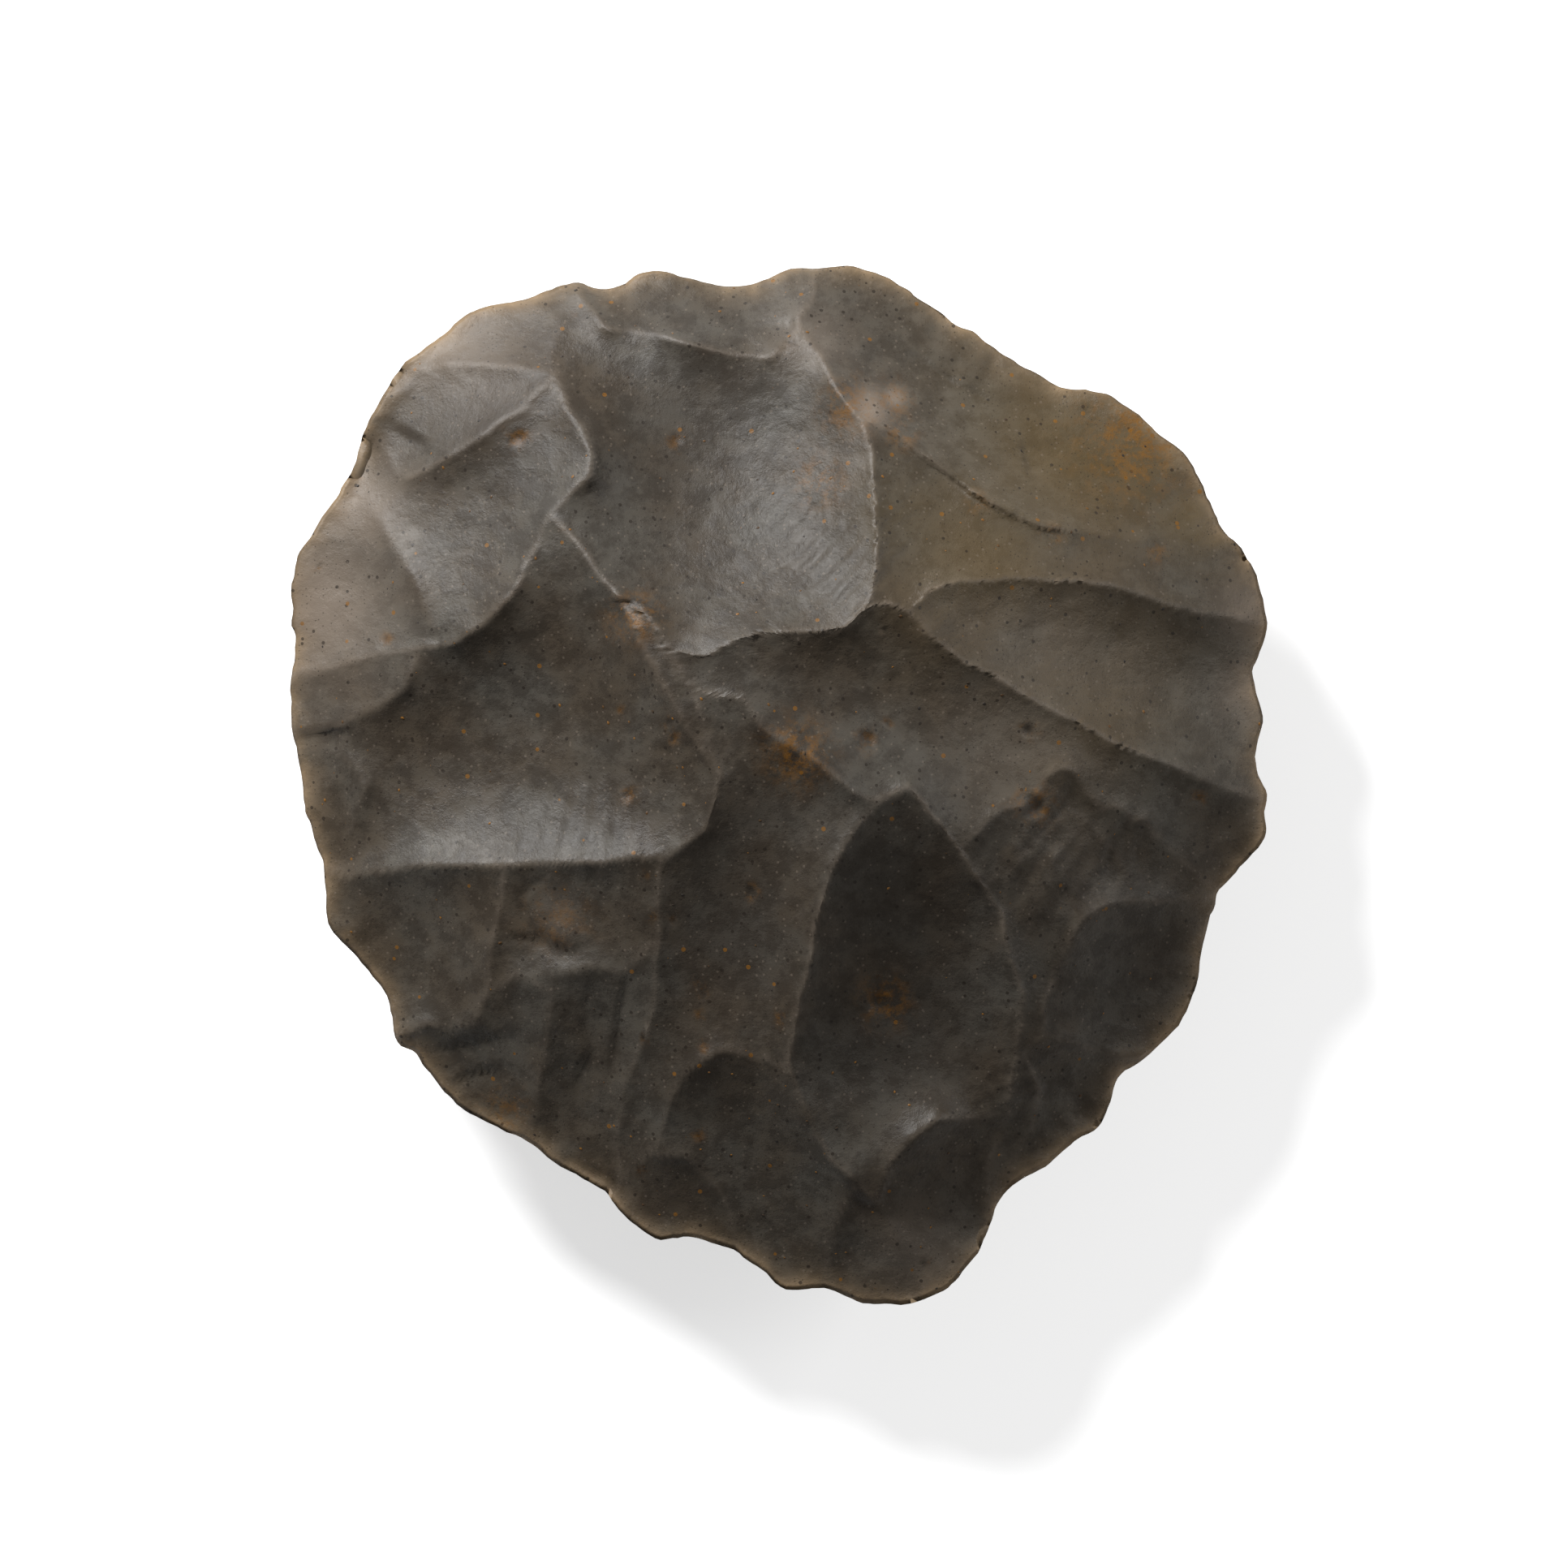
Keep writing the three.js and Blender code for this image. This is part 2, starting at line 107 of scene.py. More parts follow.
# Ridges of the upper face: where two scars meet. The flag says how sharply the ridge stands, 0 to 1.
RIDGES = {
    "leaf_top": (0.8, [(478, 478), (500, 458), (560, 448), (620, 452), (686, 462)]),
    "leaf_low": (1.0, [(500, 592), (527, 580), (560, 562), (600, 535), (640, 507), (660, 490), (686, 463)]),
    "leaf_end": (0.3, [(437, 575), (468, 540), (500, 592)]),
    "crown_left": (0.9, [(686, 462), (700, 505), (720, 530), (732, 565), (728, 590), (705, 610),
                         (680, 635)]),
    "crown_corner": (0.5, [(640, 370), (690, 395), (680, 430), (686, 462)]),
    "corner_low": (1.0, [(680, 635), (660, 680), (640, 725), (600, 771), (560, 795), (520, 800), (480, 805),
                         (440, 812), (390, 826), (360, 832)]),
    "rim_left": (0.35, [(437, 575), (450, 600), (480, 660), (519, 728), (545, 797)]),
    "small_left": (0.7, [(358, 900), (420, 893), (460, 873), (500, 847), (515, 803)]),
    "left_edge": (0.4, [(366, 925), (400, 918), (435, 940), (452, 965), (440, 1010), (402, 1075)]),
    "crown_right": (0.9, [(950, 443), (972, 425), (985, 405), (1010, 440), (1035, 490), (1060, 520),
                          (1075, 560), (1078, 610), (1080, 650), (1078, 700), (1070, 740), (1050, 765),
                          (1040, 776)]),
    "bevel_low": (0.8, [(706, 352), (745, 405), (805, 412), (840, 425), (900, 437), (950, 443)]),
    "bevel_end": (1.0, [(985, 405), (981, 395), (1000, 365), (1006, 332)]),
    "crown_foot": (0.7, [(815, 800), (868, 812), (905, 790), (945, 780), (970, 778), (1000, 780),
                         (1040, 776)]),
    "scarp": (0.9, [(1060, 520), (1100, 537), (1140, 565), (1180, 597), (1220, 623), (1250, 637),
                    (1280, 650), (1325, 656)]),
    "scarp_fade": (0.15, [(1325, 656), (1400, 668), (1470, 672), (1536, 690)]),
    "south_east_top": (1.0, [(1040, 776), (1060, 757), (1075, 747), (1100, 748), (1120, 758), (1135, 770),
                             (1150, 790), (1170, 805), (1200, 822), (1240, 845), (1280, 868), (1320, 888),
                             (1360, 912), (1400, 928), (1440, 943), (1500, 968), (1562, 985)]),
    "east_top": (0.8, [(1120, 758), (1145, 730), (1180, 718), (1240, 714), (1320, 718), (1380, 725),
                       (1440, 745), (1480, 758), (1558, 765)]),
    "big_left_right": (1.0, [(680, 635), (702, 655), (735, 700), (771, 750), (790, 795), (815, 835),
                             (850, 900), (890, 960)]),
    "sliver": (0.8, [(771, 750), (798, 760), (812, 780), (840, 830), (865, 880), (890, 960)]),
    "sliver_top": (0.6, [(798, 760), (815, 800), (862, 850), (915, 860)]),
    "middle_right": (0.9, [(862, 850), (915, 862), (940, 900), (1000, 935), (1050, 975), (1075, 985),
                           (1117, 968)]),
    "middle_left": (0.7, [(890, 960), (870, 1020), (815, 1060), (812, 1150), (805, 1250), (770, 1340),
                          (760, 1400), (765, 1455)]),
    "big_left_low": (0.9, [(402, 1075), (430, 1080), (480, 1070), (520, 1067), (560, 1063), (600, 1065),
                           (740, 1060), (815, 1056)]),
    "pointed_left": (1.0, [(1117, 968), (1080, 990), (1055, 1020), (1040, 1045), (1025, 1070), (1005, 1130),
                           (998, 1190), (983, 1240), (968, 1310), (1000, 1380), (1025, 1430),
                           (1055, 1455)]),
    "pointed_right": (1.0, [(1117, 968), (1140, 995), (1180, 1045), (1205, 1085), (1232, 1120),
                            (1242, 1180), (1258, 1225), (1250, 1300), (1240, 1370)]),
    "lobes": (0.8, [(1180, 1045), (1200, 1025), (1220, 1005), (1235, 995), (1265, 990), (1275, 975),
                    (1290, 955), (1305, 946), (1320, 948), (1335, 975), (1355, 996), (1370, 991),
                    (1387, 1000), (1390, 1012), (1405, 1005), (1420, 1025), (1450, 1055), (1480, 1080),
                    (1508, 1100)]),
    "terrace_one": (0.5, [(1232, 1120), (1240, 1080), (1260, 1050), (1285, 1020), (1320, 1000),
                          (1355, 996)]),
    "terrace_two": (0.5, [(1262, 1160), (1272, 1110), (1290, 1080), (1300, 1050), (1335, 1012),
                          (1368, 1045), (1385, 1075)]),
    "low_right_top": (0.9, [(1505, 1105), (1440, 1108), (1385, 1110), (1355, 1115), (1335, 1130),
                            (1320, 1150), (1300, 1195), (1283, 1240), (1285, 1275), (1262, 1300)]),
    "low_right_foot": (0.6, [(1285, 1275), (1320, 1285), (1370, 1300), (1418, 1302)]),
    "step_lens": (0.6, [(1262, 1300), (1280, 1340), (1272, 1385), (1250, 1420), (1240, 1470)]),
    "tip_top": (0.8, [(1240, 1370), (1200, 1375), (1155, 1378), (1125, 1400), (1100, 1430), (1080, 1480),
                      (1055, 1455)]),
    "tip_right": (0.5, [(1240, 1370), (1215, 1440), (1218, 1455), (1212, 1530)]),
    "tip_left": (0.5, [(1055, 1455), (1030, 1500), (1015, 1588)]),
    "tip_middle": (0.3, [(1080, 1480), (1105, 1540), (1120, 1604)]),
    "left_low": (0.7, [(495, 1275), (525, 1263), (545, 1267), (580, 1260), (592, 1245), (603, 1220),
                       (606, 1175), (620, 1100), (625, 1064)]),
    "foot_left": (0.5, [(603, 1220), (640, 1200), (680, 1220), (672, 1300), (660, 1370), (640, 1400)]),
    "foot_top": (0.4, [(640, 1200), (690, 1195), (722, 1190), (770, 1195), (812, 1150)]),
    "middle_foot": (0.6, [(968, 1310), (930, 1298), (895, 1290), (865, 1305), (845, 1320), (835, 1340),
                          (820, 1370), (815, 1400), (800, 1420), (765, 1455), (748, 1472)]),
    "foot_lobe": (0.6, [(800, 1420), (845, 1420), (865, 1440), (885, 1460), (900, 1490), (908, 1540)]),
}

# Undulations that spread from where a flake was struck: start, middle of the patch, its radius (pixels),
# wavelength and height in millimetres
RIPPLES = [
    ((760, 420), (1010, 700), 85, 1.6, 0.07),
    ((760, 420), (900, 740), 80, 2.6, 0.05),
    ((1530, 640), (1170, 455), 95, 3.4, 0.09),
    ((1500, 1190), (1285, 1080), 75, 1.8, 0.09),
    ((380, 960), (730, 1000), 85, 2.2, 0.09),
    ((470, 1380), (600, 1300), 60, 2.0, 0.10),
    ((1300, 1500), (1270, 1350), 55, 1.6, 0.10),
    ((1060, 1600), (1100, 1290), 150, 6.0, 0.06),
    ((1580, 900), (1330, 800), 150, 7.0, 0.06),
]

# Pits where a grain or a fossil fell out: centre and radius in pixels, and how rusty they are
PITS = [
    (640, 541, 10, 1.0), (833, 544, 9, 0.7), (479, 789, 6, 0.8), (1273, 993, 15, 1.0), (1475, 982, 7, 1.0),
    (1265, 900, 9, 0.9), (1093, 892, 6, 0.6), (1068, 912, 11, 0.6), (1080, 1232, 14, 0.8),
    (962, 1253, 6, 1.0), (925, 1097, 7, 0.9), (830, 1131, 6, 0.4), (804, 1130, 5, 0.6), (797, 1077, 4, 0.5),
    (860, 1208, 5, 0.7), (867, 1221, 5, 0.7), (863, 1249, 5, 0.7), (868, 1287, 5, 0.7), (795, 1280, 4, 0.6),
    (860, 1398, 6, 0.7), (790, 1441, 5, 0.5), (775, 980, 8, 0.8), (827, 890, 5, 0.9), (834, 910, 6, 0.9),
    (766, 875, 4, 0.6), (748, 580, 3, 0.6), (710, 388, 3, 0.5), (1140, 1555, 4, 0.6), (455, 548, 5, 0.0),
    (1090, 778, 4, 0.2), (1158, 837, 4, 0.2), (1322, 1405, 6, 0.0), (976, 424, 6, 0.1), (442, 584, 4, 1.0),
    (393, 698, 4, 1.0),
]

# Steps where a flake broke off short: height and width in millimetres, and the line, with the drop on the
# left of someone who walks along it
STEPS = [
    (0.7, 4.0, [(1325, 656), (1280, 650), (1220, 623), (1180, 597), (1140, 565), (1100, 537), (1060, 520)]),
    (0.6, 1.6, [(730, 1152), (705, 1166), (690, 1163), (672, 1152), (655, 1128), (651, 1110), (668, 1090)]),
    (0.4, 1.5, [(690, 1160), (670, 1157), (645, 1150), (625, 1152), (612, 1160)]),
    (0.3, 1.5, [(660, 1172), (640, 1167), (615, 1172)]),
    (0.7, 2.4, [(430, 902), (385, 895), (363, 905)]),
    (0.6, 2.6, [(1255, 545), (1257, 560), (1265, 580), (1276, 594)]),
    (0.5, 3.0, [(1240, 500), (1180, 470), (1140, 440), (1100, 430)]),
    (0.8, 2.2, [(968, 440), (978, 425), (981, 395)]),
    (0.5, 2.0, [(1262, 1300), (1282, 1340), (1272, 1385)]),
    (0.5, 2.0, [(1300, 1330), (1322, 1360), (1318, 1405)]),
    (0.5, 2.5, [(1387, 1000), (1360, 1040), (1350, 1090)]),
    (0.45, 2.2, [(1320, 948), (1300, 990), (1262, 1040), (1240, 1090)]),
    (0.4, 2.2, [(1405, 1005), (1392, 1050), (1400, 1095)]),
    (0.5, 2.4, [(640, 1272), (580, 1278), (530, 1290)]),
    (0.5, 2.4, [(625, 1310), (585, 1318), (550, 1335)]),
    (0.4, 2.0, [(725, 1205), (716, 1240), (722, 1290), (700, 1350)]),
    (0.4, 2.0, [(770, 1190), (760, 1250), (745, 1330)]),
    (0.6, 2.2, [(1100, 1430), (1080, 1480), (1045, 1470)]),
    (0.5, 3.0, [(800, 760), (780, 740), (760, 742), (752, 720)]),
    (0.35, 2.0, [(950, 765), (930, 785), (920, 806)]),
    (0.5, 3.5, [(540, 560), (520, 540), (480, 520)]),
    (0.5, 4.0, [(765, 1455), (735, 1440), (700, 1420)]),
]

# Soft patches of colour: centre, radius in pixels and strength
RUST_STAINS = [
    (1390, 540, 70, 0.35), (1400, 540, 60, 0.9), (1273, 993, 22, 0.9), (1090, 1232, 26, 0.8),
    (1010, 596, 26, 0.7), (982, 928, 34, 0.8), (1045, 505, 30, 0.7), (1100, 494, 20, 0.6),
    (1110, 535, 18, 0.6), (1203, 621, 12, 0.6), (1295, 663, 12, 0.6), (784, 762, 26, 0.8),
    (620, 1370, 24, 0.6), (690, 1130, 36, 0.35), (1425, 683, 12, 0.6),
]
OLIVE_STAINS = [
    (1400, 560, 100, 1.0), (1470, 640, 70, 0.9), (1330, 560, 170, 0.9), (1220, 680, 140, 0.8),
    (1350, 820, 150, 0.6), (1120, 640, 80, 0.6),
]
# Brown patches, partly the flint's own darker brown and partly painted shade: many sit just below ridges and
# steps and on the scars that slope away from the key lamp, where shade falls
BROWN_AND_SHADE_PATCHES = [
    (600, 500, 80, 1.0), (650, 560, 60, 0.7), (1010, 680, 70, 0.7), (760, 1010, 60, 0.8),
    (650, 1025, 50, 0.6), (500, 400, 40, 0.4), (1120, 1380, 50, 0.5), (775, 755, 18, 1.0),
    (800, 800, 16, 1.0), (845, 880, 16, 0.9), (940, 905, 16, 1.0), (975, 930, 18, 1.0),
    (1015, 948, 18, 1.0), (1120, 1000, 34, 0.9), (690, 1165, 22, 0.9), (1060, 1470, 26, 1.0),
    (720, 1458, 26, 0.9), (1268, 1335, 14, 1.0), (976, 425, 9, 1.0), (400, 905, 16, 0.9),
    (820, 1475, 40, 0.7), (1410, 1150, 60, 0.6), (1110, 1100, 110, 0.9), (1120, 1280, 120, 0.8),
    (900, 1150, 110, 0.8), (930, 1010, 60, 0.6), (860, 1300, 70, 0.6), (850, 560, 150, 0.4),
    (900, 700, 110, 0.4), (1400, 1180, 90, 0.5), (540, 1310, 70, 0.6), (780, 740, 60, 0.6),
    (690, 1210, 90, 0.4), (1130, 1480, 80, 0.4), (850, 1480, 70, 0.5),
]
# Pale patches, partly the flint's own paler spots and partly painted light: the two near the left edge paint
# light shining through the thin flint, and others lighten the tip and parts of the right side
PALE_AND_LIT_PATCHES = [
    (1130, 1540, 60, 0.35), (1070, 507, 26, 0.9), (1100, 492, 14, 0.9), (690, 1125, 26, 0.3),
    (1540, 760, 40, 0.5), (1300, 800, 120, 0.18), (1250, 900, 90, 0.25), (380, 740, 90, 0.9),
    (430, 620, 70, 0.7), (560, 420, 80, 0.5), (1000, 420, 45, 0.4), (1540, 850, 40, 0.5),
]

# The hidden face's even tint
LOWER_OLIVE = 0.15
LOWER_BROWN = 0.35

# How finely the faces are built
CURVE_STEPS = 12
STATIONS = 560
UPPER_RINGS = 112
LOWER_RINGS = 46
FILM_STEP = 0.3 * MM
UPPER_PATH_STEP = 0.12 * MM
LOWER_PATH_STEP = 0.2 * MM
STEP_PATH_STEP = 0.3 * MM
UPPER_ROUNDS = 500
LOWER_ROUNDS = 400
OVER_RELAXATION = 1.9
NOISE_SPAN = 0.3

# Points of the rings this close to a ridge are moved onto it, if it is sharp and not at the very edge
SNAP = 0.2 * MM
SNAP_SHARPNESS = 0.45
SNAP_INSIDE = 0.6 * MM

# How far the edge strays from its smooth outline, the size of its nicks, and the waves in its height: number
# round the stone, turn in radians and height
EDGE_STRAY = 0.28 * MM
EDGE_NICK = 3.2 * MM
EDGE_WAVES = ((3, 1.0, 0.5 * MM), (7, 0.0, 0.35 * MM))

# How far below the dome the softest ridge lies, and how the lower face rises from its facet to the edge
SOFT_RIDGE_DROP = 0.5 * MM
LOWER_RISE = 1.45

# Unevenness of the faces: height, size of its features, seed and octaves
UPPER_ROUGHNESS = ((0.12 * MM, 9 * MM, 3, 3), (0.045 * MM, 1.6 * MM, 23, 3))
LOWER_ROUGHNESS = (0.12 * MM, 8 * MM, 203, 4)
CRUMBLE_HEIGHT, CRUMBLE_SIZE = 0.28 * MM, 2.6 * MM
RIDGE_LIFT, RIDGE_LIFT_WIDTH = 0.1 * MM, 0.35 * MM
PIT_DEPTH = 0.35
EDGE_FADE = 1.2 * MM

# Widths of the pale ridges and of the thin edge in the masks
RIDGE_WIDTH = 0.28 * MM
LOWER_RIDGE_WIDTH = 0.4 * MM
THIN_WIDTH = 0.9 * MM

# Noise in the stone's colour: features per metre, detail, roughness, and where its step starts and ends
CLOUDS = (85.0, 5.0, 0.6, 0.32, 0.68)
MOTTLE = (420.0, 6.0, 0.7, 0.38, 0.62)
WEAR = (240.0, 5.0, 0.65, 0.3, 0.7)
RUSTING = (700.0, 6.0, 0.75, 0.42, 0.66)
GRAIN_TONE = (260.0, 2.0, 0.5, 0.42, 0.58)
FINE_NOISE = (2200.0, 4.0, 0.8)

# Specks in the flint: cells per metre, radius as a share of a cell, colour and strength, and the
# random number above which a cell holds one
SPECKS = ((900.0, 0.17, "dark", 0.7), (1500.0, 0.2, "pale", 0.22), (420.0, 0.1, "rust", 0.7),
          (2400.0, 0.2, "dark", 0.5))
SPECKLED_FROM = 0.62

# The table, just under the stone so that they share no plane, and its glow for the camera alone
TABLE_SIZE = 3.0
TABLE_GAP = 0.02 * MM
TABLE_WHITE = 0.9
TABLE_GLOW = 0.62

# Where the lamps hang, in metres from the stone, and how wide they are
KEY_PLACE, KEY_SIZE = (-0.42, 0.62, 0.48), 0.24
FILL_PLACE, FILL_SIZE = (0.75, 0.2, 0.55), 0.5

# The height at which the photograph's pixels are measured
SCALE_HEIGHT = 15 * MM


def closed_curve(points, count):
    """Evenly spaced points on a closed Catmull-Rom curve."""
    p = np.array(points)
    before, after, second = np.roll(p, 1, 0), np.roll(p, -1, 0), np.roll(p, -2, 0)
    t = np.linspace(0, 1, CURVE_STEPS, endpoint=False)[:, None, None]
    fine = 0.5 * (2 * p + (after - before) * t + (2 * before - 5 * p + 4 * after - second) * t**2
                  + (3 * p - before - 3 * after + second) * t**3)
    fine = fine.transpose(1, 0, 2).reshape(-1, 2)
    closed = np.vstack([fine, fine[:1]])
    along = np.concatenate([[0], np.cumsum(np.hypot(*np.diff(closed, axis=0).T))])
    wanted = np.linspace(0, along[-1], count, endpoint=False)
    return np.stack([np.interp(wanted, along, closed[:, k]) for k in (0, 1)], 1)


def stretch_to_box(points):
    """The outline laid exactly onto the frame's box in plan."""
    low, high = points.min(0), points.max(0)
    box_low, box_high = np.array(LOW[:2]), np.array(HIGH[:2])
    return box_low + (points - low) / (high - low) * (box_high - box_low)


def fractal(x, y, size, seed, octaves=4):
    """Smooth random unevenness between about -1 and 1, with features of a size in metres."""
    total, weight = np.zeros_like(x), 1.0
    for k in range(octaves):
        rng = np.random.default_rng(seed + k)
        step = size / 2**k
        cells = int(NOISE_SPAN / step) + 4
        table = rng.uniform(-1, 1, (cells, cells))
        u, v = (x + NOISE_SPAN / 2) / step, (y + NOISE_SPAN / 2) / step
        i, j = np.floor(u).astype(int), np.floor(v).astype(int)
        fu, fv = u - i, v - j
        fu, fv = fu * fu * (3 - 2 * fu), fv * fv * (3 - 2 * fv)
        i, j = np.clip(i, 0, cells - 2), np.clip(j, 0, cells - 2)
        low = table[i, j] * (1 - fu) + table[i + 1, j] * fu
        high = table[i, j + 1] * (1 - fu) + table[i + 1, j + 1] * fu
        total += weight * (low * (1 - fv) + high * fv)
        weight *= 0.55
    return total


class Film:
    """Heights on a grid, held along lines and pressed in between them."""

    def __init__(self, step):
        self.step = step
        self.x = np.arange(LOW.x - 4 * step, HIGH.x + 5 * step, step)
        self.y = np.arange(LOW.y - 4 * step, HIGH.y + 5 * step, step)
        self.gx, self.gy = np.meshgrid(self.x, self.y)
        self.sum = np.zeros_like(self.gx)
        self.count = np.zeros_like(self.gx)

    def hold(self, points, heights):
        """Fixes the film at points. Where several fall on one place of the grid, it takes their mean."""
        i = np.clip(np.round((points[:, 0] - self.x[0]) / self.step).astype(int), 0, len(self.x) - 1)
        j = np.clip(np.round((points[:, 1] - self.y[0]) / self.step).astype(int), 0, len(self.y) - 1)
        np.add.at(self.sum, (j, i), heights)
        np.add.at(self.count, (j, i), 1)

    def solve(self, start, press, rounds):
        """The film's heights, relaxed from a start under an even pressure."""
        held = self.count > 0
        fixed = np.where(held, self.sum / np.maximum(self.count, 1), 0)
        h = np.where(held, fixed, start)
        push = press * self.step**2
        red = (np.add.outer(np.arange(h.shape[0]), np.arange(h.shape[1])) % 2) == 0
        free = [red & ~held, ~red & ~held]
        for mask in free:
            mask[0], mask[-1], mask[:, 0], mask[:, -1] = False, False, False, False
        for _ in range(rounds):
            for mask in free:
                mean = np.zeros_like(h)
                mean[1:-1, 1:-1] = (h[:-2, 1:-1] + h[2:, 1:-1] + h[1:-1, :-2] + h[1:-1, 2:]) / 4
                h = np.where(mask, h + OVER_RELAXATION * (mean - push / 4 - h), h)
        return h

    def read(self, grid, x, y):
        """Heights at any points, read between the places of the grid."""
        u = np.clip((x - self.x[0]) / self.step, 0, len(self.x) - 1.001)
        v = np.clip((y - self.y[0]) / self.step, 0, len(self.y) - 1.001)
        i, j = u.astype(int), v.astype(int)
        fu, fv = u - i, v - j
        return (grid[j, i] * (1 - fu) * (1 - fv) + grid[j, i + 1] * fu * (1 - fv)
                + grid[j + 1, i] * (1 - fu) * fv + grid[j + 1, i + 1] * fu * fv)


def walk(points, step):
    """A polyline as closely spaced points."""
    p = np.array(points, float)
    along = np.concatenate([[0], np.cumsum(np.hypot(*np.diff(p, axis=0).T))])
    wanted = np.arange(0, along[-1] + step / 2, step)
    return np.stack([np.interp(wanted, along, p[:, k]) for k in (0, 1)], 1)


def wobble(points, size, seed):
    """A line moved a little to and fro, as a broken edge runs."""
    shift = np.stack([fractal(*points.T, size, seed), fractal(*points.T, size, seed + 50)], 1)
    return points + shift * size * 0.06


def turned(arm, angle):
    """A vector in plan turned by an angle in radians."""
    return np.array([arm[0] * math.cos(angle) - arm[1] * math.sin(angle),
                     arm[0] * math.sin(angle) + arm[1] * math.cos(angle)])


class Stone:
    """Both faces of the hand axe as films over its outline."""

    def __init__(self, body):
        self.body = body
        smooth = closed_curve([place(*p) for p in OUTLINE], STATIONS)
        stray = [fractal(*smooth.T, EDGE_NICK, seed, 3) for seed in (401, 461)]
        self.edge = stretch_to_box(smooth + EDGE_STRAY * np.stack(stray, 1))
        run = np.linspace(0, 2 * math.pi, STATIONS, endpoint=False)
        self.edge_height = np.full(STATIONS, body.edge_height)
        for number, turn, height in EDGE_WAVES:
            self.edge_height += height * np.sin(number * run + turn)
        self.upper_ridges = []
        self.lower_ridges = []

    def share(self, centre, x, y):
        """How far out points lie as a share of the way from a centre to the edge, and that way's length."""
        out = self.edge - np.array(centre)
        turn = np.arctan2(y - centre[1], x - centre[0])
        limit = np.interp(turn, np.arctan2(out[:, 1], out[:, 0]), np.hypot(*out.T), period=2 * math.pi)
        return np.hypot(x - centre[0], y - centre[1]) / limit, limit

    def upper_dome(self, x, y):
        """Heights of the upper face without its scars."""
        share, _ = self.share(CREST, x, y)
        rise = self.body.crest_height - self.body.edge_height
        return self.body.edge_height + rise * (1 - np.clip(share, 0, 1.2) ** self.body.fullness)

    def lower_dome(self, x, y):
        """Heights of the lower face without its scars."""
        _, limit = self.share(REST_CENTRE, x, y)
        out = np.hypot(x - REST_CENTRE[0], y - REST_CENTRE[1])
        rise = np.clip((out - REST_RADIUS) / (limit - REST_RADIUS), 0, 1.2)
        return self.body.edge_height * rise**LOWER_RISE

    def hold_edge(self, film, step):
        """Fixes a film along the stone's edge."""
        ring = walk(np.vstack([self.edge, self.edge[:1]]), step)
        heights = np.append(self.edge_height, self.edge_height[0])
        film.hold(ring, np.interp(np.linspace(0, STATIONS, len(ring)), np.arange(STATIONS + 1), heights))

    def upper_film(self):
        """The upper face, held along its ridges and its edge."""
        film = Film(FILM_STEP)
        for k, (sharp, line) in enumerate(RIDGES.values()):
            points = wobble(walk([place(*p) for p in line], UPPER_PATH_STEP), 3 * MM, 11 * k)
            film.hold(points, self.upper_dome(*points.T) - (1 - sharp) * SOFT_RIDGE_DROP)
            self.upper_ridges += [(x, y, sharp) for x, y in points]
        self.hold_edge(film, UPPER_PATH_STEP)
        return film, film.solve(self.upper_dome(film.gx, film.gy), self.body.scar_dish, UPPER_ROUNDS)

    def lower_film(self):
        """The hidden face: a level facet with scars round it, whose ridges run out to the edge."""
        film = Film(FILM_STEP * 2)
        self.hold_edge(film, LOWER_PATH_STEP)
        centre = np.array(REST_CENTRE)
        film.count[np.hypot(film.gx - centre[0], film.gy - centre[1]) < REST_RADIUS] = 1
        rng = np.random.default_rng(5)
        scars = self.body.lower_scars
        starts = (np.arange(scars) + rng.uniform(-0.22, 0.22, scars)) / scars
        for k, start in enumerate(starts):
            out = self.edge[int(start * STATIONS) % STATIONS] - centre
            length = np.hypot(*out)
            swing = rng.uniform(-0.25, 0.25)
            line = []
            for t in ((1, 0.75, 0.5, 0.25, 0) if k % 2 == 0 else (1, 0.8, 0.6, 0.45)):
                arm = turned(out, swing * (1 - t)) * (REST_RADIUS + t * (length - REST_RADIUS)) / length
                line.append(centre + arm)
            points = wobble(walk(line, LOWER_PATH_STEP), 4 * MM, 300 + k)
            film.hold(points, self.lower_dome(*points.T))
            self.lower_ridges += [(x, y, 0.8) for x, y in points]
        return film, film.solve(self.lower_dome(film.gx, film.gy), -self.body.lower_dish, LOWER_ROUNDS)


def nearest_ridge(ridges, x, y):
    """Distance to the nearest ridge, its sharpness and the place on it, for each point."""
    tree = KDTree(len(ridges))
    for k, (rx, ry, _) in enumerate(ridges):
        tree.insert((rx, ry, 0), k)
    tree.balance()
    far, sharp, nearest = np.empty(len(x)), np.empty(len(x)), np.empty((len(x), 2))
    for k, (px, py) in enumerate(zip(x, y)):
        _, index, distance = tree.find((px, py, 0))
        far[k], sharp[k], nearest[k] = distance, ridges[index][2], ridges[index][:2]
    return far, sharp, nearest


def patches(spots, x, y):
    """A soft mask from a list of round patches."""
    mask = np.zeros(len(x))
    for px, py, radius, strength in spots:
        sx, sy = place(px, py)
        far = np.hypot(x - sx, y - sy) / (radius * PIXEL)
        mask = np.maximum(mask, strength * np.exp(-(far**2)))
    return mask


